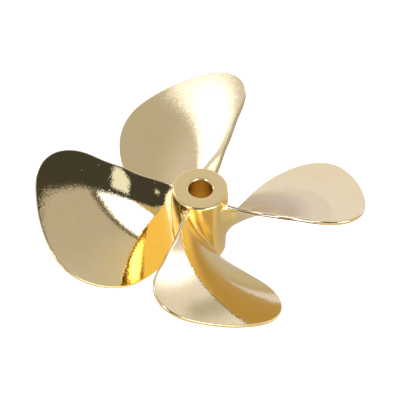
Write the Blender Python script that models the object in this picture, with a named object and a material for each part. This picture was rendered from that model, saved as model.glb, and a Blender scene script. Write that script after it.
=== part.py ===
"""Four-blade brass propeller for a model boat.

A turned brass hub with a plain bore carries four blades cut from brass plate. Each blade's root
sits in a shallow helical slot in the hub and is brazed there with two runs of brass filler, a thin
one on the blade's face and a wide one on its back. The blades are left-handed helicoids: seen from
above they fall as they go anticlockwise.

Metres, +Z along the shaft axis, z = 0 on the hub's lower face. Dimensions below are in millimetres.
"""

import math

import bmesh
import bpy
import numpy as np

MM = 0.001

# Driving dimensions
BLADES = 4
TIP_RADIUS = 55.0
HUB_RADIUS = 9.3
HUB_LENGTH = 28.0
HUB_RIM_ROUND = 0.75
BORE_RADIUS = 4.0
BORE_CHAMFER = 0.35
ROOT_HEIGHT = 12.0

# Blade surface. Pitch and cup are given at the root, at mid-span and at the tip. The plate
# has one thickness, apart from a swelling along the middle of its back towards the root.
PLATE = 1.5
PLATE_EDGE_ROUND = 0.55
ROOT_SWELL = 3.2
ROOT_SWELL_SPAN = 18.0
PITCH = (114.7, 120.8, 115.8)
RAKE = 0.2115
CUP = (0.0024, 0.0006, 0.0)

# Blade outline, laid flat: distances from the blade's middle at equal steps of angle, from the
# root corner of the upper edge, round the tip, to the root corner of the lower edge.
OUTLINE_MIDDLE = (1.65, 31.9)
OUTLINE_HALF_SWEEP = math.radians(156.0)
OUTLINE = (35.3, 21.4, 19.8, 23.1, 30.7, 25.5, 22.1, 23.3, 26.9, 24.7, 21.0, 20.3, 24.1)
ROOT_CHORD = (-13.93, 11.04)
ROOT_FLARE = (-0.08, 0.71)

# Joint between blade and hub
SLOT_DEPTH = 1.5
CLEARANCE = 0.3
BRAZE_GAP = 0.2
BRAZE_FACE = 0.9
BRAZE_BACK = 3.0
BRAZE_END = 1.7

# Fineness of the meshes
OUTLINE_STEPS = 46
FACE_RINGS = (0.35, 0.62, 0.8, 0.92)
ROOT_STEPS = 10
HUB_STEPS = 72
BRAZE_STEPS = 18

BRASS = (0.80, 0.64, 0.38)
FILLER = (0.82, 0.62, 0.33)


def clear_scene():
    for obj in list(bpy.data.objects):
        bpy.data.objects.remove(obj, do_unlink=True)


def metal(name, colour, roughness):
    material = bpy.data.materials.new(name)
    material.use_nodes = True
    shader = material.node_tree.nodes["Principled BSDF"]
    shader.inputs["Base Color"].default_value = (*colour, 1.0)
    shader.inputs["Metallic"].default_value = 1.0
    shader.inputs["Roughness"].default_value = roughness
    return material


def along_span(values, radius):
    """A quadratic through a quantity's values at the root, at mid-span and at the tip."""
    root, middle, tip = values
    q = (radius - HUB_RADIUS) / (TIP_RADIUS - HUB_RADIUS)
    return root * (1 - q) * (1 - 2 * q) + 4 * middle * q * (1 - q) + tip * q * (2 * q - 1)


def half_thickness(side, chord, radius):
    """From the middle of the plate to its face (side 1) or to its back (side -1)."""
    upper, lower = ROOT_CHORD
    inboard = max(1 - max(radius - HUB_RADIUS, 0) / ROOT_SWELL_SPAN, 0)
    off_middle = (2 * chord - upper - lower) / (lower - upper)
    crown = max(1 - off_middle**2, 0)
    swell = ROOT_SWELL * inboard**2 * crown**2
    return PLATE / 2 + (swell if side < 0 else 0)


def blade_point(turn, chord, radius, normal):
    """Wraps a point of the flat blade round the shaft axis.

    chord runs along the blade section, from the upper edge (negative) to the lower edge, and
    normal is the height above the middle of the plate.
    """
    slope = math.atan2(along_span(PITCH, radius) / (2 * math.pi), radius)
    rake = RAKE * (radius - HUB_RADIUS)
    lift = normal + along_span(CUP, radius) * chord**2
    around = chord * math.cos(slope) + lift * math.sin(slope)
    height = ROOT_HEIGHT - chord * math.sin(slope) + lift * math.cos(slope) + rake
    angle = around / radius + turn
    return (radius * math.cos(angle) * MM, radius * math.sin(angle) * MM, height * MM)


def spline_through(values, places):
    """A cubic spline through values at 0, 1, 2 ..., read at the given places.

    The curvature carries on straight through the second and the last but one value.
    """
    values = np.array(values)
    count = len(values)
    bend = np.zeros((count, count))
    bend[0, :3] = (1, -2, 1)
    bend[-1, -3:] = (1, -2, 1)
    load = np.zeros(count)
    for i in range(1, count - 1):
        bend[i, i - 1 : i + 2] = (1, 4, 1)
        load[i] = 6 * (values[i - 1] - 2 * values[i] + values[i + 1])
    curvature = np.linalg.solve(bend, load)
    i = np.clip(places.astype(int), 0, count - 2)
    after = places - i
    before = 1 - after
    cubic = (before**3 - before) * curvature[i] + (after**3 - after) * curvature[i + 1]
    return before * values[i] + after * values[i + 1] + cubic / 6


def blade_outline():
    """The flat blade's outline as (chord, radius) points, with the tenon that fills its slot."""
    tenon = HUB_RADIUS - SLOT_DEPTH + CLEARANCE
    places = np.linspace(0, len(OUTLINE) - 1, OUTLINE_STEPS + 1)
    reach = spline_through(OUTLINE, places)
    angle = (2 * places / (len(OUTLINE) - 1) - 1) * OUTLINE_HALF_SWEEP
    chord = OUTLINE_MIDDLE[0] + reach * np.sin(angle)
    radius = OUTLINE_MIDDLE[1] + reach * np.cos(angle)
    free = [(c, r) for c, r in zip(chord, radius) if r > HUB_RADIUS + 0.5]
    upper, lower = ROOT_CHORD
    root = [(lower, HUB_RADIUS)]
    for i in range(ROOT_STEPS + 1):
        root.append((lower + (upper - lower) * i / ROOT_STEPS, tenon))
    root.append((upper, HUB_RADIUS))
    return np.array(free + root)


def inset(outline, distance):
    """The outline moved inwards by a distance, each point straight towards the blade's middle."""
    tangent = np.roll(outline, -1, axis=0) - np.roll(outline, 1, axis=0)
    tangent /= np.linalg.norm(tangent, axis=1)[:, None]
    inward = np.column_stack([tangent[:, 1], -tangent[:, 0]])
    ray = np.array(OUTLINE_MIDDLE) - outline
    ray /= np.linalg.norm(ray, axis=1)[:, None]
    slant = np.maximum((ray * inward).sum(axis=1), 0.5)
    return outline + ray * (distance / slant)[:, None]


def join_loops(mesh, a, b):
    for i in range(len(a)):
        j = (i + 1) % len(a)
        mesh.faces.new((a[i], a[j], b[j], b[i]))


def add_loops(mesh, loops):
    """Skins a list of closed point loops with quads. Returns the vertices of each loop."""
    rows = [[mesh.verts.new(point) for point in loop] for loop in loops]
    for a, b in zip(rows, rows[1:]):
        join_loops(mesh, a, b)
    return rows


def add_fan(mesh, row, point):
    middle = mesh.verts.new(point)
    for i, vertex in enumerate(row):
        mesh.faces.new((vertex, row[(i + 1) % len(row)], middle))


def make_object(name, mesh, material):
    bmesh.ops.recalc_face_normals(mesh, faces=mesh.faces)
    data = bpy.data.meshes.new(name)
    mesh.to_mesh(data)
    mesh.free()
    data.shade_smooth()
    data.set_sharp_from_angle(angle=math.radians(35))
    data.materials.append(material)
    obj = bpy.data.objects.new(name, data)
    bpy.context.scene.collection.objects.link(obj)
    return obj


def blade_layers():
    """Outlines from the blade's middle to its edge, each with its depth below the surface."""
    outline = blade_outline()
    middle = np.array(OUTLINE_MIDDLE)
    face = inset(outline, PLATE_EDGE_ROUND)
    layers = [(middle + (face - middle) * share, 0.0) for share in FACE_RINGS]
    for degrees in (90, 45, 0):
        bend = math.radians(degrees)
        edge = inset(outline, PLATE_EDGE_ROUND * (1 - math.cos(bend)))
        layers.append((edge, PLATE_EDGE_ROUND * (1 - math.sin(bend))))
    return layers


def make_blade(number, turn, material):
    loops = []
    layers = blade_layers()
    for side, side_layers in ((1, layers), (-1, layers[::-1])):
        for points, depth in side_layers:
            loop = []
            for chord, radius in points:
                normal = side * (half_thickness(side, chord, radius) - depth)
                loop.append(blade_point(turn, chord, radius, normal))
            loops.append(loop)
    mesh = bmesh.new()
    rows = add_loops(mesh, loops)
    chord, radius = OUTLINE_MIDDLE
    for row, side in ((rows[0], 1), (rows[-1], -1)):
        normal = side * half_thickness(side, chord, radius)
        add_fan(mesh, row, blade_point(turn, chord, radius, normal))
    return make_object(f"blade_{number}", mesh, material)


def make_slot_cutter(number, turn):
    """A helical bar, a clearance larger all round than the blade's tenon."""
    upper, lower = ROOT_CHORD
    low = HUB_RADIUS - SLOT_DEPTH
    high = HUB_RADIUS + SLOT_DEPTH
    loops = []
    for chord in np.linspace(upper - CLEARANCE, lower + CLEARANCE, BRAZE_STEPS + 1):
        face = half_thickness(1, chord, HUB_RADIUS) + CLEARANCE
        back = -half_thickness(-1, chord, HUB_RADIUS) - CLEARANCE
        corners = ((low, back), (high, back), (high, face), (low, face))
        loops.append([blade_point(turn, chord, r, n) for r, n in corners])
    mesh = bmesh.new()
    rows = add_loops(mesh, loops)
    mesh.faces.new(rows[0])
    mesh.faces.new(rows[-1])
    cutter = make_object(f"slot_cutter_{number}", mesh, metal("cutter", (0.5, 0.5, 0.5), 0.5))
    cutter.hide_render = True
    cutter.display_type = "WIRE"
    return cutter


def hub_profile():
    """(radius, height) points round the hub's turned section, from the bore's lower end."""
    rim = []
    for degrees in (0, 30, 60, 90):
        bend = math.radians(degrees)
        out = HUB_RADIUS - HUB_RIM_ROUND * (1 - math.sin(bend))
        rim.append((out, HUB_RIM_ROUND * (1 - math.cos(bend))))
    half = [(BORE_RADIUS, BORE_CHAMFER), (BORE_RADIUS + BORE_CHAMFER, 0.0), *rim]
    return half + [(radius, HUB_LENGTH - height) for radius, height in reversed(half)]


def make_hub(cutters, material):
    loops = []
    for i in range(HUB_STEPS):
        angle = 2 * math.pi * i / HUB_STEPS
        across, along = math.cos(angle) * MM, math.sin(angle) * MM
        loops.append([(r * across, r * along, z * MM) for r, z in hub_profile()])
    mesh = bmesh.new()
    rows = add_loops(mesh, loops)
    join_loops(mesh, rows[-1], rows[0])
    hub = make_object("hub", mesh, material)
    for cutter in cutters:
        slot = hub.modifiers.new(cutter.name, "BOOLEAN")
        slot.operation = "DIFFERENCE"
        slot.solver = "EXACT"
        slot.object = cutter
    return hub


def braze_path(side):
    """Half the way round the blade's root, as (chord, share of the half thickness, bend, run).

    The run starts at the lower edge, turns the corner, goes along the face or the back, and turns
    the corner again to end at the upper edge. bend is 0 where it looks along the chord.
    """
    upper, lower = ROOT_CHORD
    full = BRAZE_FACE if side > 0 else BRAZE_BACK
    first_end = [(lower, 0.15, 0.0, BRAZE_END)]
    for degrees in (0, 30, 60):
        bend = math.radians(degrees)
        run = BRAZE_END + (full - BRAZE_END) * math.sin(bend) ** 2
        first_end.append((lower - PLATE_EDGE_ROUND * (1 - math.cos(bend)), 1.0, bend, run))
    along = []
    start = lower - PLATE_EDGE_ROUND
    length = lower - upper - 2 * PLATE_EDGE_ROUND
    for i in range(BRAZE_STEPS + 1):
        along.append((start - length * i / BRAZE_STEPS, 1.0, math.pi / 2, full))
    last_end = []
    for chord, share, bend, run in reversed(first_end):
        last_end.append((upper + lower - chord, share, math.pi - bend, run))
    return first_end + along + last_end


def flare(chord):
    """How far the blade's root widens for each millimetre out from the hub, at this chord."""
    upper, lower = ROOT_CHORD
    share = (2 * chord - upper - lower) / (lower - upper)
    return abs(share) * (ROOT_FLARE[1] if share > 0 else ROOT_FLARE[0])


def make_braze(name, side, turn, material):
    """A concave run of filler in the corner between the plate and the hub."""
    loops = []
    for chord, share, bend_out, run in braze_path(side):
        section = [(BRAZE_GAP, BRAZE_GAP)]
        for degrees in (0, 30, 60, 90):
            bend = math.radians(degrees)
            hollow = run - BRAZE_GAP
            section.append((run - hollow * math.sin(bend), run - hollow * math.cos(bend)))
        loop = []
        for away, up in section:
            along = chord + math.cos(bend_out) * away + up * flare(chord)
            thickness = half_thickness(side, along, HUB_RADIUS + up)
            corner = share * (thickness - PLATE_EDGE_ROUND)
            lift = corner + math.sin(bend_out) * (PLATE_EDGE_ROUND + away)
            loop.append(blade_point(turn, along, HUB_RADIUS + up, side * lift))
        loops.append(loop)
    mesh = bmesh.new()
    rows = add_loops(mesh, loops)
    mesh.faces.new(rows[0])
    mesh.faces.new(rows[-1])
    return make_object(name, mesh, material)


def make_propeller():
    clear_scene()
    turns = [2 * math.pi * i / BLADES for i in range(BLADES)]
    cutters = [make_slot_cutter(i + 1, turn) for i, turn in enumerate(turns)]
    make_hub(cutters, metal("turned_brass", BRASS, 0.22))
    for i, turn in enumerate(turns):
        number = i + 1
        make_blade(number, turn, metal(f"plate_brass_{number}", BRASS, 0.15))
        make_braze(f"braze_face_{number}", 1, turn, metal(f"filler_face_{number}", FILLER, 0.25))
        make_braze(f"braze_back_{number}", -1, turn, metal(f"filler_back_{number}", FILLER, 0.25))


make_propeller()
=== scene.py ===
"""The looks of a four-blade brass boat propeller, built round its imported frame.

Every visible piece is made again here as a fine, smooth mesh from the same blade formula as the
frame: a turned hub, four twisted brass blades, and the runs of braze that join them. Dimensions are
in millimetres until a point is placed. The frame is in metres, with +Z along the shaft axis.
"""

import math

import bpy
import numpy as np
from mathutils import Euler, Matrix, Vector


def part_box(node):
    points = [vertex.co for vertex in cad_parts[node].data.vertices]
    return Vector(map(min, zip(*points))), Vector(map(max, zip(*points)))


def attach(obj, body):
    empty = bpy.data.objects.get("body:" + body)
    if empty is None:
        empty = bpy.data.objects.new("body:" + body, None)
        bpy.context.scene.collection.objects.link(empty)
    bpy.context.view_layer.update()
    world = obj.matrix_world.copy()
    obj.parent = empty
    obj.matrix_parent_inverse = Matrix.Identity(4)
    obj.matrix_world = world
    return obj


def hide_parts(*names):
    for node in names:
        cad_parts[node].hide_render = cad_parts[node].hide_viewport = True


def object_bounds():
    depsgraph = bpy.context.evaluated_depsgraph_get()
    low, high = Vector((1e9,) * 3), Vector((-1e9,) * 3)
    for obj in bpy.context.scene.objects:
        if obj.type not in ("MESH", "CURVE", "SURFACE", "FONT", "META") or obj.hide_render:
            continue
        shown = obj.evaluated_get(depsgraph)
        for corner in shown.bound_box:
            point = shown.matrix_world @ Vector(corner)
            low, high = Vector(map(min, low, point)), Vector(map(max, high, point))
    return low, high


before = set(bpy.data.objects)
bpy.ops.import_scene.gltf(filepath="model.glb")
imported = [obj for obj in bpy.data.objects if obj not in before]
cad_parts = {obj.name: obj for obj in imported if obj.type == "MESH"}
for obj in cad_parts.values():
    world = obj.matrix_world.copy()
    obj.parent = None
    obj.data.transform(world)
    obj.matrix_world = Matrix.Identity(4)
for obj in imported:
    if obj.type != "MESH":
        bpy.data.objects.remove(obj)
CAD_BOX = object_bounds()

# One millimetre in the frame's metres
MM = 0.001

BLADES = 4

# Hub and bore. The hub stands at height zero, and the frame gives its length
HUB_LOW, HUB_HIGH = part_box("hub")
HUB_RADIUS = 9.3
HUB_LENGTH = (HUB_HIGH.z - HUB_LOW.z) / MM
HUB_RIM_ROUND = 0.75
BORE_RADIUS = 4.0
BORE_CHAMFER = 0.35

# Blade surface, as in the frame. Pitch and camber are given at the root, at mid-span and at the tip
TIP_RADIUS = 55.0
ROOT_HEIGHT = 12.0
PLATE = 1.5
EDGE_ROUND = 0.55
ROOT_SWELL = 3.2
ROOT_SWELL_SPAN = 18.0
PITCH = (114.7, 120.8, 115.8)
RAKE = 0.2115
CAMBER = (0.0024, 0.0006, 0.0)

# Blade outline, laid flat: distances from the blade's middle at equal steps of angle
OUTLINE_MIDDLE = (1.65, 31.9)
OUTLINE_HALF_SWEEP = math.radians(156.0)
OUTLINE = (35.3, 21.4, 19.8, 23.1, 30.7, 25.5, 22.1, 23.3, 26.9, 24.7, 21.0, 20.3, 24.1)
ROOT_CHORD = (-13.93, 11.04)
ROOT_FLARE = (-0.08, 0.71)
ROOT_MARGIN = 0.1
TENON_DEPTH = 1.0

# Braze between blade and hub
BRAZE_FACE = 0.9
BRAZE_BACK = 3.0
BRAZE_END = 1.7
BRAZE_SINK = 0.06
BRAZE_ROOT = 4 * BRAZE_SINK

# Finish: how far buffing and hand work tilt the surface, in how many patches for each unit of
# place, and the heights of the relief in metres
BUFF_TILT = 0.075
HUB_TILT = 0.06
TILT_GRAIN = 5.0
WAVE_HEIGHT = 14e-6
PIT_HEIGHT = 20e-6
RING_HEIGHT = 2.2e-6
RIPPLE_HEIGHT = 12e-6

# Finish on the flat blade: how fine the strokes and the smears are along the chord and outwards,
# as shares of the plain noise, and how far the pattern is moved from one side, and from one blade,
# to the next, so that no two are alike
STROKE_GRAIN = (0.26, 1.15, 0)
SMEAR_GRAIN = (0.12, 0.30, 0)
SIDE_SHIFT = 90
BLADE_SHIFT = 7

# Patterns that run through the metal, in cells for each millimetre. Pits and specks also have the
# share of the cells that hold one, and all of them share a soft edge, in cells from their middle
BLADE_WAVES = 0.16
BLADE_PITS = (1.4, 0.025)
HUB_RINGS = 2.6
HUB_WAVES = 0.22
HUB_SMEARS = 0.5
HUB_SPECKS = (1.1, 0.03)
BRAZE_RIPPLES = 0.8
BRAZE_SMEARS = 0.35
BRAZE_PITS = (1.3, 0.05)
SPECK_EDGE = (0.12, 0.34)

# Colours of the metal. Of a pair, the first is where a smear is weak, the second where it is strong
BLADE_COLOURS = ((0.90, 0.68, 0.29), (0.90, 0.69, 0.31))
WORN_COLOUR = (0.84, 0.66, 0.36)
RIM_COLOUR = (0.56, 0.43, 0.22)
BLADE_PIT_COLOUR = (0.22, 0.15, 0.06)
HUB_COLOURS = ((0.87, 0.62, 0.215), (0.86, 0.63, 0.24))
HUB_SPECK_COLOUR = (0.45, 0.31, 0.13)
BORE_COLOURS = ((0.83, 0.60, 0.18), (0.87, 0.65, 0.24))
BRAZE_COLOURS = ((0.88, 0.62, 0.22), (0.88, 0.66, 0.28))
BRAZE_PIT_COLOUR = (0.30, 0.20, 0.08)

# Roughness, again from weak smears to strong ones, and what wear, pits and the bore add to it
BLADE_ROUGHNESS = (0.020, 0.055)
HUB_ROUGHNESS = (0.15, 0.26)
BRAZE_ROUGHNESS = (0.14, 0.24)
WEAR_ROUGHNESS = 0.10
BLADE_PIT_ROUGHNESS = 0.35
BORE_ROUGHNESS = 0.10
BRAZE_PIT_ROUGHNESS = 0.3

# Fineness of the meshes. A point on an outline moves in at no less than this slant
LEAST_SLANT = 0.5
OUTLINE_STEPS = 260
ROOT_STEPS = 60
FACE_RINGS = 34
EDGE_STEPS = 6
HUB_STEPS = 240
HUB_RIM_STEPS = 10
BRAZE_STEPS = 90
BRAZE_ARC_STEPS = 10


def along_span(values, radius):
    """A quadratic through a quantity's values at the root, at mid-span and at the tip."""
    root, middle, tip = values
    q = (radius - HUB_RADIUS) / (TIP_RADIUS - HUB_RADIUS)
    return root * (1 - q) * (1 - 2 * q) + 4 * middle * q * (1 - q) + tip * q * (2 * q - 1)


def half_thickness(side, chord, radius):
    """From the middle of the plate to its face (side 1) or to its back (side -1)."""
    upper, lower = ROOT_CHORD
    inboard = np.maximum(1 - np.maximum(radius - HUB_RADIUS, 0) / ROOT_SWELL_SPAN, 0)
    off_middle = (2 * chord - upper - lower) / (lower - upper)
    crown = np.maximum(1 - off_middle**2, 0)
    swell = ROOT_SWELL * inboard**2 * crown**2
    return PLATE / 2 + np.where(side < 0, swell, 0)


def blade_points(turn, chord, radius, normal):
    """Wraps points of the flat blade round the shaft axis. Takes arrays, returns metres."""
    slope = np.arctan2(along_span(PITCH, radius) / (2 * math.pi), radius)
    rake = RAKE * (radius - HUB_RADIUS)
    lift = normal + along_span(CAMBER, radius) * chord**2
    around = chord * np.cos(slope) + lift * np.sin(slope)
    height = ROOT_HEIGHT - chord * np.sin(slope) + lift * np.cos(slope) + rake
    angle = around / radius + turn
    return np.stack([radius * np.cos(angle), radius * np.sin(angle), height], axis=-1) * MM


def spline_through(values, places):
    """A cubic spline through values at 0, 1, 2 ..., read at the given places.

    The curvature carries on straight through the second and the last but one value.
    """
    values = np.array(values)
    count = len(values)
    bend = np.zeros((count, count))
    bend[0, :3] = (1, -2, 1)
    bend[-1, -3:] = (1, -2, 1)
    load = np.zeros(count)
    for i in range(1, count - 1):
        bend[i, i - 1 : i + 2] = (1, 4, 1)
        load[i] = 6 * (values[i - 1] - 2 * values[i] + values[i + 1])
    curvature = np.linalg.solve(bend, load)
    i = np.clip(places.astype(int), 0, count - 2)
    after = places - i
    before = 1 - after
    cubic = (before**3 - before) * curvature[i] + (after**3 - after) * curvature[i + 1]
    return before * values[i] + after * values[i + 1] + cubic / 6


def blade_outline():
    """The flat blade's outline as (chord, radius) rows, closed by a root that is inside the hub."""
    places = np.linspace(0, len(OUTLINE) - 1, OUTLINE_STEPS + 1)
    reach = spline_through(OUTLINE, places)
    angle = (2 * places / (len(OUTLINE) - 1) - 1) * OUTLINE_HALF_SWEEP
    chord = OUTLINE_MIDDLE[0] + reach * np.sin(angle)
    radius = OUTLINE_MIDDLE[1] + reach * np.cos(angle)
    shown = radius > HUB_RADIUS + ROOT_MARGIN
    upper, lower = ROOT_CHORD
    tenon = HUB_RADIUS - TENON_DEPTH
    root_chord = np.linspace(lower, upper, ROOT_STEPS + 1)
    root = np.column_stack([root_chord, np.full(ROOT_STEPS + 1, tenon)])
    return np.vstack([np.column_stack([chord, radius])[shown], root])


def inset(outline, distance):
    """The outline moved inwards by a distance, each point straight towards the blade's middle."""
    tangent = np.roll(outline, -1, axis=0) - np.roll(outline, 1, axis=0)
    tangent /= np.linalg.norm(tangent, axis=1)[:, None]
    inward = np.column_stack([tangent[:, 1], -tangent[:, 0]])
    ray = np.array(OUTLINE_MIDDLE) - outline
    ray /= np.linalg.norm(ray, axis=1)[:, None]
    slant = np.maximum((ray * inward).sum(axis=1), LEAST_SLANT)
    return outline + ray * (distance / slant)[:, None]


def skin(loops, close_ends, close_round):
    """Vertices and quads of a skin over closed loops of points, laid one after another."""
    rows = len(loops)
    count = len(loops[0])
    points = np.concatenate(loops)
    faces = []
    for row in range(rows if close_round else rows - 1):
        a = row * count
        b = (row + 1) % rows * count
        for i in range(count):
            j = (i + 1) % count
            faces.append((a + i, a + j, b + j, b + i))
    if close_ends:
        faces.append(tuple(range(count)))
        faces.append(tuple((rows - 1) * count + i for i in reversed(range(count))))
    return points, faces


def make_piece(name, points, faces, material, node, flat=None):
    """A smooth mesh that takes a frame node's place. flat gives its points on the flat blade."""
    mesh = bpy.data.meshes.new(name)
    mesh.from_pydata(np.asarray(points).tolist(), [], faces)
    mesh.validate()
    if flat is not None:
        places = mesh.attributes.new("flat", "FLOAT_VECTOR", "POINT")
        places.data.foreach_set("vector", np.vstack(flat).ravel())
    piece = bpy.data.objects.new(name, mesh)
    bpy.context.scene.collection.objects.link(piece)
    bpy.context.view_layer.objects.active = piece
    bpy.ops.object.select_all(action="DESELECT")
    piece.select_set(True)
    bpy.ops.object.mode_set(mode="EDIT")
    bpy.ops.mesh.select_all(action="SELECT")
    bpy.ops.mesh.normals_make_consistent(inside=False)
    bpy.ops.object.mode_set(mode="OBJECT")
    mesh.shade_smooth()
    mesh.materials.append(material)
    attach(piece, "root")
    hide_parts(node)


def blade_layers():
    """Outlines from the blade's middle to its edge, each with its depth below the surface."""
    outline = blade_outline()
    middle = np.array(OUTLINE_MIDDLE)
    face = inset(outline, EDGE_ROUND)
    layers = []
    for i in range(1, FACE_RINGS):
        share = math.sin(i / FACE_RINGS * math.pi / 2)
        layers.append((middle + (face - middle) * share, 0.0))
    for i in range(EDGE_STEPS + 1):
        bend = (1 - i / EDGE_STEPS) * math.pi / 2
        edge = inset(outline, EDGE_ROUND * (1 - math.cos(bend)))
        layers.append((edge, EDGE_ROUND * (1 - math.sin(bend))))
    return layers


def flat_places(number, side, chord, radius, edge):
    """Rows for the flat attribute: chord, shifted radius, and 0 on a face up to 1 on the rim."""
    return np.column_stack([chord, radius + side * SIDE_SHIFT + number * BLADE_SHIFT, edge])


def close_with_fans(points, faces, count, ends):
    """Closes a skin at its first and its last loop with triangles to the two given points."""
    first = len(points)
    last_row = first - count
    for i in range(count):
        j = (i + 1) % count
        faces.append((first, j, i))
        faces.append((first + 1, last_row + i, last_row + j))
    return np.vstack([points, ends])


def make_blade(number, turn, material):
    """One blade, as rings that run out over its face, round its rim and back in over its back."""
    loops = []
    flat = []
    layers = blade_layers()
    for side, side_layers in ((1, layers), (-1, layers[::-1])):
        for points, depth in side_layers:
            chord, radius = points.T
            normal = side * (half_thickness(side, chord, radius) - depth)
            loops.append(blade_points(turn, chord, radius, normal))
            edge = np.full(len(chord), depth / EDGE_ROUND)
            flat.append(flat_places(number, side, chord, radius, edge))
    chord, radius = OUTLINE_MIDDLE
    ends = []
    for side in (1, -1):
        normal = side * half_thickness(side, chord, radius)
        ends.append(blade_points(turn, chord, radius, normal))
        flat.append(flat_places(number, side, chord, radius, 0.0))
    points, faces = skin(loops, close_ends=False, close_round=False)
    points = close_with_fans(points, faces, len(loops[0]), ends)
    node = f"blade_{number}"
    make_piece(f"visual_{node}", points, faces, material, node, flat)


def arc(middle, radius, start, end, steps):
    """Points (out, up) on an arc; angles in degrees from outwards towards up."""
    bends = [math.radians(start + (end - start) * i / steps) for i in range(steps + 1)]
    return [(middle[0] + radius * math.cos(b), middle[1] + radius * math.sin(b)) for b in bends]


def hub_profile():
    """(radius, height) points round the hub's turned section, from the middle of the bore down.

    Close points on both sides of a bend keep the flat stretches beside it flat in the shading.
    """
    bore = BORE_RADIUS
    mouth = BORE_RADIUS + BORE_CHAMFER
    rim_middle = (HUB_RADIUS - HUB_RIM_ROUND, HUB_RIM_ROUND)
    half = [(bore, HUB_LENGTH * 0.3), (bore, BORE_CHAMFER + 0.3)]
    half += [(bore, BORE_CHAMFER + 0.08), (bore + 0.03, BORE_CHAMFER - 0.03)]
    half += [(mouth - 0.05, 0.05), (mouth + 0.03, 0.01), (mouth + 0.1, 0.0)]
    half += [(mouth + 1.5, 0.0), (rim_middle[0] - 0.6, 0.0), (rim_middle[0] - 0.1, 0.0)]
    half += arc(rim_middle, HUB_RIM_ROUND, -90, 0, HUB_RIM_STEPS)
    half += [(HUB_RADIUS, HUB_RIM_ROUND + 0.3), (HUB_RADIUS, HUB_LENGTH * 0.3)]
    return half + [(radius, HUB_LENGTH - height) for radius, height in reversed(half)]


def make_hub(material):
    """The hub, as its section turned round the shaft axis."""
    profile = np.array(hub_profile())
    loops = []
    for i in range(HUB_STEPS):
        angle = 2 * math.pi * i / HUB_STEPS
        x = profile[:, 0] * math.cos(angle)
        y = profile[:, 0] * math.sin(angle)
        loops.append(np.column_stack([x, y, profile[:, 1]]) * MM)
    points, faces = skin(loops, close_ends=False, close_round=True)
    make_piece("visual_hub", points, faces, material, "hub")


def flare(chord):
    """How far the blade's root widens for each millimetre out from the hub, at this chord."""
    upper, lower = ROOT_CHORD
    share = (2 * chord - upper - lower) / (lower - upper)
    return abs(share) * (ROOT_FLARE[1] if share > 0 else ROOT_FLARE[0])


def braze_path(side):
    """Half the way round the blade's root, as (chord, share of the half thickness, bend, run)."""
    upper, lower = ROOT_CHORD
    full = BRAZE_FACE if side > 0 else BRAZE_BACK
    first_end = []
    for share in (0.0, 0.35, 0.7):
        first_end.append((lower, share, 0.0, BRAZE_END))
    for i in range(EDGE_STEPS * 2):
        bend = i / (EDGE_STEPS * 2) * math.pi / 2
        run = BRAZE_END + (full - BRAZE_END) * math.sin(bend) ** 2
        first_end.append((lower - EDGE_ROUND * (1 - math.cos(bend)), 1.0, bend, run))
    along = []
    start = lower - EDGE_ROUND
    length = lower - upper - 2 * EDGE_ROUND
    for i in range(BRAZE_STEPS + 1):
        along.append((start - length * i / BRAZE_STEPS, 1.0, math.pi / 2, full))
    last_end = []
    for chord, share, bend, run in reversed(first_end):
        last_end.append((upper + lower - chord, share, math.pi - bend, run))
    return first_end + along + last_end


def make_braze(kind, side, number, turn, material):
    """A concave run of filler in the corner between the plate and the hub."""
    loops = []
    for chord, share, bend_out, run in braze_path(side):
        section = [(-BRAZE_ROOT, -BRAZE_ROOT), (run / 2, -BRAZE_ROOT)]
        for i in range(BRAZE_ARC_STEPS + 1):
            bend = i / BRAZE_ARC_STEPS * math.pi / 2
            hollow = run + BRAZE_SINK
            section.append((run - hollow * math.sin(bend), run - hollow * math.cos(bend)))
        section.append((-BRAZE_ROOT, run / 2))
        away, up = np.array(section).T
        along = chord + math.cos(bend_out) * away + up * flare(chord)
        corner = share * (half_thickness(side, along, HUB_RADIUS + up) - EDGE_ROUND)
        lift = corner + math.sin(bend_out) * (EDGE_ROUND + away)
        loops.append(blade_points(turn, along, HUB_RADIUS + up, side * lift))
    points, faces = skin(loops, close_ends=True, close_round=False)
    node = f"braze_{kind}_{number}"
    make_piece(f"visual_{node}", points, faces, material, node)


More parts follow.
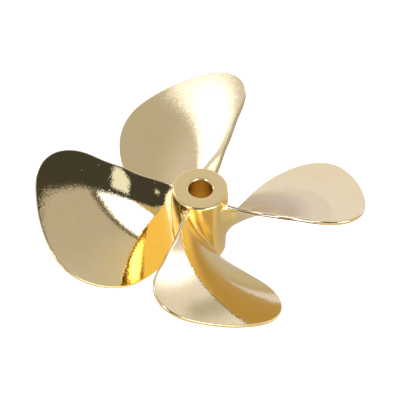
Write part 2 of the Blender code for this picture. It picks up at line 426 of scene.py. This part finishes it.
class Nodes:
    """Short names for the few kinds of shader node that the script joins up."""

    def __init__(self, tree):
        self.tree = tree

    def add(self, kind, **settings):
        node = self.tree.nodes.new(kind)
        for name, value in settings.items():
            setattr(node, name, value)
        return node

    def link(self, value, socket):
        if isinstance(value, bpy.types.NodeSocket):
            self.tree.links.new(value, socket)
        else:
            socket.default_value = value

    def math(self, operation, *values):
        node = self.add("ShaderNodeMath", operation=operation)
        for value, socket in zip(values, node.inputs):
            self.link(value, socket)
        return node.outputs[0]

    def ramp(self, value, low, high, start=0.0, end=1.0):
        """start where value is low, end where it is high, and a smooth step between."""
        node = self.add("ShaderNodeMapRange", interpolation_type="SMOOTHSTEP")
        for item, socket in zip((value, low, high, start, end), node.inputs):
            self.link(item, socket)
        return node.outputs[0]

    def mix(self, share, first, second):
        """A colour between two others, each a socket or three numbers."""
        node = self.add("ShaderNodeMix", data_type="RGBA")
        self.link(share, node.inputs[0])
        for colour, socket in ((first, node.inputs[6]), (second, node.inputs[7])):
            self.link((*colour, 1) if isinstance(colour, tuple) else colour, socket)
        return node.outputs[2]

    def scaled(self, vector, factors):
        node = self.add("ShaderNodeVectorMath", operation="MULTIPLY")
        self.link(vector, node.inputs[0])
        self.link(factors, node.inputs[1])
        return node.outputs[0]

    def distance(self, place, point):
        node = self.add("ShaderNodeVectorMath", operation="DISTANCE")
        self.link(place, node.inputs[0])
        self.link(point, node.inputs[1])
        return node.outputs["Value"]

    def noise(self, place, scale, detail):
        """Smooth noise from 0 to 1, with this many cells for each unit of the place."""
        node = self.add("ShaderNodeTexNoise")
        self.link(place, node.inputs["Vector"])
        self.link(scale, node.inputs["Scale"])
        self.link(detail, node.inputs["Detail"])
        return node.outputs["Fac"]

    def tilt(self, place, detail):
        """A noise vector about zero, to tilt a surface to and fro."""
        node = self.add("ShaderNodeTexNoise")
        self.link(place, node.inputs["Vector"])
        self.link(TILT_GRAIN, node.inputs["Scale"])
        self.link(detail, node.inputs["Detail"])
        centred = self.add("ShaderNodeVectorMath", operation="SUBTRACT")
        self.link(node.outputs["Color"], centred.inputs[0])
        self.link((0.5, 0.5, 0.5), centred.inputs[1])
        return centred.outputs[0]

    def finish_metal(self, shader, colour, roughness, height, tilt, amount):
        """Joins up a metal's colour, its roughness, its relief in metres and its uneven tilt."""
        bump = self.add("ShaderNodeBump")
        bump.inputs["Distance"].default_value = 1.0
        self.link(height, bump.inputs["Height"])
        tilted = self.add("ShaderNodeVectorMath", operation="MULTIPLY_ADD")
        self.link(tilt, tilted.inputs[0])
        self.link((amount, amount, amount), tilted.inputs[1])
        self.link(bump.outputs[0], tilted.inputs[2])
        normal = self.add("ShaderNodeVectorMath", operation="NORMALIZE")
        self.link(tilted.outputs[0], normal.inputs[0])
        self.link(normal.outputs[0], shader.inputs["Normal"])
        self.link(colour, shader.inputs["Base Color"])
        self.link(roughness, shader.inputs["Roughness"])
        shader.inputs["Metallic"].default_value = 1.0


def new_material(name):
    """A new material, the short names for its nodes, and its shader."""
    material = bpy.data.materials.new(name)
    material.use_nodes = True
    return material, Nodes(material.node_tree), material.node_tree.nodes["Principled BSDF"]


def object_place(nodes):
    """The place on the object in millimetres, for patterns that run through the metal."""
    place = nodes.add("ShaderNodeTexCoord").outputs["Object"]
    return nodes.scaled(place, (1 / MM, 1 / MM, 1 / MM))


def speck_mask(nodes, place, per_mm, share):
    """1 in small specks, one in each of this share of the cells, and 0 elsewhere."""
    cells = nodes.add("ShaderNodeTexVoronoi")
    nodes.link(place, cells.inputs["Vector"])
    nodes.link(per_mm, cells.inputs["Scale"])
    chance = nodes.add("ShaderNodeSeparateColor")
    nodes.link(cells.outputs["Color"], chance.inputs[0])
    chosen = nodes.ramp(chance.outputs[0], 1 - share, 1 - share + 0.01)
    near = nodes.ramp(cells.outputs["Distance"], *SPECK_EDGE, 1.0, 0.0)
    return nodes.math("MULTIPLY", chosen, near)


def blade_brass():
    """Brass plate, buffed along the chord to a mirror, with a few pits left in it."""
    material, nodes, shader = new_material("buffed_blade_brass")
    flat = nodes.add("ShaderNodeAttribute", attribute_name="flat").outputs["Vector"]
    split = nodes.add("ShaderNodeSeparateXYZ")
    nodes.link(flat, split.inputs[0])
    edge = split.outputs[2]
    solid = object_place(nodes)
    strokes = nodes.tilt(nodes.scaled(flat, STROKE_GRAIN), 1.5)
    waves = nodes.noise(solid, BLADE_WAVES, 1.0)
    smears = nodes.noise(nodes.scaled(flat, SMEAR_GRAIN), 1.0, 2.0)
    pits = speck_mask(nodes, solid, *BLADE_PITS)
    worn = nodes.math("MULTIPLY", edge, nodes.ramp(smears, 0.35, 0.65))
    patchy = nodes.ramp(smears, 0.2, 0.6, 0.5, 1.0)
    rim = nodes.math("MULTIPLY", nodes.ramp(edge, 0.40, 0.90), patchy)

    colour = nodes.mix(nodes.ramp(smears, 0.40, 0.62), *BLADE_COLOURS)
    colour = nodes.mix(nodes.math("MULTIPLY", worn, 0.5), colour, WORN_COLOUR)
    colour = nodes.mix(rim, colour, RIM_COLOUR)
    colour = nodes.mix(nodes.math("MULTIPLY", pits, 0.75), colour, BLADE_PIT_COLOUR)
    rough = nodes.ramp(smears, 0.30, 0.75, *BLADE_ROUGHNESS)
    rough = nodes.math("MULTIPLY_ADD", worn, WEAR_ROUGHNESS, rough)
    rough = nodes.math("MULTIPLY_ADD", pits, BLADE_PIT_ROUGHNESS, rough)
    height = nodes.math("MULTIPLY", waves, WAVE_HEIGHT)
    height = nodes.math("MULTIPLY_ADD", pits, -PIT_HEIGHT, height)
    nodes.finish_metal(shader, colour, rough, height, strokes, BUFF_TILT)
    return material


def hub_radius_and_height(nodes):
    """The distance from the shaft axis, and the height, both in millimetres."""
    split = nodes.add("ShaderNodeSeparateXYZ")
    nodes.link(object_place(nodes), split.inputs[0])
    x, y, height = split.outputs
    across = nodes.add("ShaderNodeCombineXYZ")
    nodes.link(x, across.inputs[0])
    nodes.link(y, across.inputs[1])
    return nodes.distance(across.outputs[0], (0, 0, 0)), height


def hub_brass():
    """Turned brass bar: fine rings from the tool, and an unpolished, tarnished bore."""
    material, nodes, shader = new_material("turned_hub_brass")
    radius, height = hub_radius_and_height(nodes)
    rings = nodes.add("ShaderNodeTexNoise", noise_dimensions="1D")
    nodes.link(nodes.math("ADD", radius, height), rings.inputs["W"])
    rings.inputs["Scale"].default_value = HUB_RINGS
    rings.inputs["Detail"].default_value = 3.0
    solid = object_place(nodes)
    waves = nodes.noise(solid, HUB_WAVES, 1.0)
    smears = nodes.noise(solid, HUB_SMEARS, 2.0)
    specks = speck_mask(nodes, solid, *HUB_SPECKS)
    bore = nodes.ramp(radius, BORE_RADIUS + 0.05, BORE_RADIUS + 0.2, 1.0, 0.0)

    colour = nodes.mix(nodes.ramp(smears, 0.35, 0.65), *HUB_COLOURS)
    colour = nodes.mix(nodes.math("MULTIPLY", specks, 0.5), colour, HUB_SPECK_COLOUR)
    colour = nodes.mix(bore, colour, nodes.mix(smears, *BORE_COLOURS))
    rough = nodes.ramp(smears, 0.30, 0.70, *HUB_ROUGHNESS)
    rough = nodes.math("MULTIPLY_ADD", bore, BORE_ROUGHNESS, rough)
    relief = nodes.math("MULTIPLY", rings.outputs["Fac"], RING_HEIGHT)
    relief = nodes.math("MULTIPLY_ADD", waves, WAVE_HEIGHT, relief)
    nodes.finish_metal(shader, colour, rough, relief, nodes.tilt(solid, 2.0), HUB_TILT)
    return material


def braze_filler():
    """Filler smoothed by hand: a little softer and more uneven than the buffed plates."""
    material, nodes, shader = new_material("smoothed_braze")
    solid = object_place(nodes)
    ripples = nodes.noise(solid, BRAZE_RIPPLES, 2.0)
    smears = nodes.noise(solid, BRAZE_SMEARS, 1.0)
    pits = speck_mask(nodes, solid, *BRAZE_PITS)

    colour = nodes.mix(nodes.ramp(smears, 0.35, 0.65), *BRAZE_COLOURS)
    colour = nodes.mix(nodes.math("MULTIPLY", pits, 0.7), colour, BRAZE_PIT_COLOUR)
    rough = nodes.ramp(smears, 0.30, 0.70, *BRAZE_ROUGHNESS)
    rough = nodes.math("MULTIPLY_ADD", pits, BRAZE_PIT_ROUGHNESS, rough)
    relief = nodes.math("MULTIPLY", ripples, RIPPLE_HEIGHT)
    nodes.finish_metal(shader, colour, rough, relief, nodes.tilt(solid, 2.0), HUB_TILT)
    return material


def make_object():
    """All 13 visible pieces: the hub, and for each blade its plate and its two runs of braze."""
    blade_metal = blade_brass()
    braze_metal = braze_filler()
    make_hub(hub_brass())
    for i in range(BLADES):
        turn = 2 * math.pi * i / BLADES
        make_blade(i + 1, turn, blade_metal)
        make_braze("face", 1, i + 1, turn, braze_metal)
        make_braze("back", -1, i + 1, turn, braze_metal)


# Camera: the view of the photograph. The scale is the share of the picture's width that one
# millimetre takes at the blade roots' middle, and the range is in metres
VIEW_ELEVATION = math.radians(48.50)
VIEW_TURN = math.radians(9.52)
VIEW_ROLL = math.radians(-2.38)
VIEW_DISTANCE = 20.48 * TIP_RADIUS
VIEW_SCALE = 0.410825 / TIP_RADIUS
VIEW_OFFSET = (-0.0052 * TIP_RADIUS, -0.1225 * TIP_RADIUS)
VIEW_RANGE = (0.01, 10.0)
SENSOR_WIDTH = 36.0


def make_camera():
    """A long lens, far off, aimed at the blade roots' middle and then moved by the offset."""
    data = bpy.data.cameras.new("photo_camera")
    camera = bpy.data.objects.new("photo_camera", data)
    bpy.context.scene.collection.objects.link(camera)
    data.sensor_width = SENSOR_WIDTH
    data.lens = VIEW_SCALE * VIEW_DISTANCE * SENSOR_WIDTH
    data.clip_start, data.clip_end = VIEW_RANGE
    turn = Euler((math.pi / 2 - VIEW_ELEVATION, 0.0, -VIEW_TURN)).to_matrix()
    roll = Euler((0.0, 0.0, -VIEW_ROLL)).to_matrix()
    axes = turn @ roll
    offset = Vector((-VIEW_OFFSET[0], -VIEW_OFFSET[1], VIEW_DISTANCE)) * MM
    camera.matrix_world = axes.to_4x4()
    camera.location = Vector((0, 0, ROOT_HEIGHT * MM)) + axes @ offset
    bpy.context.scene.camera = camera


# The studio is drawn on the sky as a dome map: degrees from straight overhead, x to the camera's
# right and y away from the camera. Each panel has a colour that includes its strength, a soft
# edge in degrees, and one or more convex shapes, each with its corners given anticlockwise.
SKY_NEAR = (0.54, 0.56, 0.72)
SKY_AWAY = (0.87, 0.94, 1.42)
SKY_SPAN = (5.0, 72.0)
LEAST_LEVEL = 1e-4
LAMP = (2.6, 3.1, 5.6)
BRIGHT_LAMP = (9.0, 10.0, 16.0)
PANELS = {
    "left wall": (
        (0.69, 0.72, 1.00),
        14.0,
        [((-50, 60), (-130, 60), (-130, -60), (-50, -60))],
    ),
    "right wall": (
        (0.69, 0.70, 0.80),
        9.0,
        [((40, -40), (130, -40), (130, 40), (40, 40))],
    ),
    "left window's rim": (
        (1.10, 1.24, 1.95),
        2.5,
        [((-28, 13), (-26, 26), (-72, 71), (-84, 60), (-78, 39.5))],
    ),
    "left window": (
        LAMP,
        8.0,
        [((-33, 20), (-34, 27), (-66, 60), (-80, 60), (-78, 44))],
    ),
    "far lamp": (
        LAMP,
        9.0,
        [((41, 46), (53, 43), (60, 59), (53, 72), (44, 63))],
    ),
    "far right wall": (
        (0.55, 0.48, 0.46),
        6.0,
        [((74, 38), (130, 38), (130, 76), (74, 76))],
    ),
    "far stand": (
        (0.54, 0.58, 0.77),
        3.0,
        [((28, 62), (34, 62), (35, 76), (27, 76))],
    ),
    "near lamp's haze": (
        (0.62, 0.55, 0.42),
        3.0,
        [((14, -40), (14, -72), (40, -72), (40, -40))],
    ),
    "near lamp": (
        LAMP,
        2.2,
        [((15, -19), (15, -42), (24, -56), (34, -70), (53, -70), (54, -28))],
    ),
    "near lamp's heart": (
        (4.0, 4.6, 7.0),
        5.0,
        [((40, -41), (42, -60), (80, -62), (80, -41))],
    ),
    "side lamp": (
        BRIGHT_LAMP,
        5.0,
        [((-36, -20), (-36, -32), (-23, -32), (-23, -20))],
    ),
    "low side lamp": (
        LAMP,
        3.0,
        [((-60, -45), (-60, -72), (-52, -78), (-44, -66), (-40, -50))],
    ),
    "near lamp's edge": (
        (0.13, 0.12, 0.12),
        1.0,
        [((15, -14.4), (15, -17.4), (46, -23.4), (46, -21.0))],
    ),
    "low front": (
        (1.7, 1.75, 2.2),
        4.0,
        [((-60, -78), (-60, -100), (60, -100), (60, -78))],
    ),
    "dark slot with the camera": (
        (0.061, 0.062, 0.073),
        0.9,
        [
            ((-14, 6), (-14, -62), (14.5, -62), (14.5, -8)),
            ((-14, -36), (-46, -77), (4, -77), (14.5, -60), (14.5, -36)),
            ((-14, 8), (-14, -12), (14.5, -12), (18.5, 6), (14, 14)),
            ((8, 12), (14, -2), (30, 17), (24, 22)),
        ],
    ),
    "window in the slot": (
        (0.97, 1.13, 1.58),
        0.8,
        [((-4.5, -27.5), (-5, -33), (-1, -39.5), (10.5, -38.5), (10, -27))],
    ),
    "lamp in the slot": (
        (0.80, 0.86, 1.0),
        1.5,
        [((-15, -64), (-15, -68), (-8, -68), (-8, -64))],
    ),
}


# Floor, in metres: x to the camera's right and y away from the camera. A fade is a start and an
# end, along y or as a distance from the shaft axis or from a place on the floor. For all but the
# camera the floor glows with painted light: brighter in front, blue-grey behind and far off. A
# painted shade lies under the right blade, a painted side shade beyond it, and a painted pool of
# light in the gap between it and the hub.
FLOOR_HALF_SIZE = 3.0
FLOOR_DROP = 0.0002
FLOOR_BLEACH = 0.9
FLOOR_COLOUR = (0.80, 0.79, 0.78)
PAINTED_FRONT_LIGHT = (1.15, 1.10, 0.78)
PAINTED_BEHIND_LIGHT = (0.60, 0.60, 0.84)
PAINTED_FAR_LIGHT = (0.80, 0.85, 1.22)
FRONT_FADE = (-0.035, 0.030)
FAR_FADE = (0.025, 0.20)
# Painted shade and painted light on the floor's glow: each a colour, its middle and its fade
PAINTED_SIDE_SHADE = (0.54, 0.49, 0.41)
SIDE_PLACE = (0.060, 0.058, 0.0)
SIDE_FADE = (0.018, 0.045)
PAINTED_FLOOR_SHADE = (0.56, 0.52, 0.47)
SHADE_PLACE = (0.034, 0.014, 0.0)
SHADE_FADE = (0.020, 0.045)
PAINTED_GAP_LIGHT = (0.60, 0.57, 0.54)
GAP_PLACE = (0.020, 0.016, 0.0)
GAP_FADE = (0.006, 0.027)


def dome_map(nodes):
    """The dome map's x and y, in degrees, of the direction in which the sky is seen."""
    direction = nodes.add("ShaderNodeTexCoord").outputs["Generated"]
    turned = nodes.add("ShaderNodeVectorRotate", rotation_type="Z_AXIS")
    nodes.link(direction, turned.inputs["Vector"])
    turned.inputs["Angle"].default_value = VIEW_TURN
    split = nodes.add("ShaderNodeSeparateXYZ")
    nodes.link(turned.outputs[0], split.inputs[0])
    x, y, z = split.outputs
    level = nodes.math("SQRT", nodes.math("SUBTRACT", 1.0, nodes.math("MULTIPLY", z, z)))
    overhead = nodes.math("DEGREES", nodes.math("ARCCOSINE", z))
    scale = nodes.math("DIVIDE", overhead, nodes.math("MAXIMUM", level, LEAST_LEVEL))
    return nodes.math("MULTIPLY", x, scale), nodes.math("MULTIPLY", y, scale)


def shape_mask(nodes, x, y, corners, softness):
    """1 inside a convex shape on the dome map, 0 outside, soft at its edge."""
    mask = 1.0
    for (x0, y0), (x1, y1) in zip(corners, corners[1:] + corners[:1]):
        length = math.hypot(x1 - x0, y1 - y0)
        across, up = (y0 - y1) / length, (x1 - x0) / length
        along_x = nodes.math("MULTIPLY_ADD", x, across, -(x0 * across + y0 * up))
        inside = nodes.math("MULTIPLY_ADD", y, up, along_x)
        mask = nodes.math("MULTIPLY", mask, nodes.ramp(inside, -softness, softness))
    return mask


def make_world():
    """The painted studio, which all but the camera sees: the camera sees plain white behind."""
    world = bpy.data.worlds.new("studio")
    bpy.context.scene.world = world
    world.use_nodes = True
    nodes = Nodes(world.node_tree)
    background = world.node_tree.nodes["Background"]
    x, y = dome_map(nodes)
    sky = nodes.mix(nodes.ramp(y, *SKY_SPAN), SKY_NEAR, SKY_AWAY)
    for colour, softness, shapes in PANELS.values():
        mask = 0.0
        for corners in shapes:
            mask = nodes.math("MAXIMUM", mask, shape_mask(nodes, x, y, corners, softness))
        sky = nodes.mix(mask, sky, colour)
    seen = nodes.add("ShaderNodeLightPath").outputs["Is Camera Ray"]
    nodes.link(nodes.mix(seen, sky, (1, 1, 1)), background.inputs["Color"])
    bpy.context.scene.view_settings.view_transform = "Standard"


def painted_floor_light(nodes, place):
    """Painted light that comes up off the floor, with the propeller's own soft shade painted in it."""
    split = nodes.add("ShaderNodeSeparateXYZ")
    nodes.link(place, split.inputs[0])
    behind = nodes.ramp(split.outputs[1], *FRONT_FADE)
    far = nodes.ramp(nodes.distance(place, (0, 0, 0)), *FAR_FADE)
    # Painted light: the floor's glow, brighter in front, blue-grey behind and far off
    light = nodes.mix(behind, PAINTED_FRONT_LIGHT, nodes.mix(far, PAINTED_BEHIND_LIGHT, PAINTED_FAR_LIGHT))
    # Painted shade under and beyond the right blade, and a painted pool of light by the hub
    for colour, middle, fade in (
        (PAINTED_SIDE_SHADE, SIDE_PLACE, SIDE_FADE),
        (PAINTED_FLOOR_SHADE, SHADE_PLACE, SHADE_FADE),
        (PAINTED_GAP_LIGHT, GAP_PLACE, GAP_FADE),
    ):
        clear = nodes.ramp(nodes.distance(place, middle), *fade)
        light = nodes.mix(clear, colour, light)
    return light


def floor_material():
    """A pale, dull floor, bleached for the camera, glowing for the brass with painted light and shade."""
    material, nodes, shader = new_material("pale_floor_painted_light")
    shader.inputs["Base Color"].default_value = (*FLOOR_COLOUR, 1)
    shader.inputs["Roughness"].default_value = 1.0
    shader.inputs["Specular IOR Level"].default_value = 0.0
    white = nodes.add("ShaderNodeEmission")
    white.inputs["Strength"].default_value = FLOOR_BLEACH
    bleached = nodes.add("ShaderNodeAddShader")
    nodes.link(shader.outputs[0], bleached.inputs[0])
    nodes.link(white.outputs[0], bleached.inputs[1])
    # This emission paints the floor's light and shade for all but the camera
    light = nodes.add("ShaderNodeEmission")
    place = nodes.add("ShaderNodeTexCoord").outputs["Object"]
    nodes.link(painted_floor_light(nodes, place), light.inputs["Color"])
    choose = nodes.add("ShaderNodeMixShader")
    nodes.link(nodes.add("ShaderNodeLightPath").outputs["Is Camera Ray"], choose.inputs[0])
    nodes.link(light.outputs[0], choose.inputs[1])
    nodes.link(bleached.outputs[0], choose.inputs[2])
    nodes.link(choose.outputs[0], material.node_tree.nodes["Material Output"].inputs[0])
    return material


def make_floor():
    """A large pale floor under the propeller.

    The camera sees it nearly white, with only a faint shadow. The brass sees it as the photograph
    shows it in the brass, with painted light and shade: a painted glow in front, blue-grey behind,
    and a painted shade to the right of the hub.
    """
    far = FLOOR_HALF_SIZE
    mesh = bpy.data.meshes.new("floor")
    mesh.from_pydata([(-far, -far, 0), (far, -far, 0), (far, far, 0), (-far, far, 0)], [], [(0, 1, 2, 3)])
    mesh.materials.append(floor_material())
    floor = bpy.data.objects.new("floor", mesh)
    bpy.context.scene.collection.objects.link(floor)
    floor.location.z = CAD_BOX[0][2] - FLOOR_DROP
    floor.rotation_euler.z = -VIEW_TURN


make_object()
make_camera()
make_world()
make_floor()
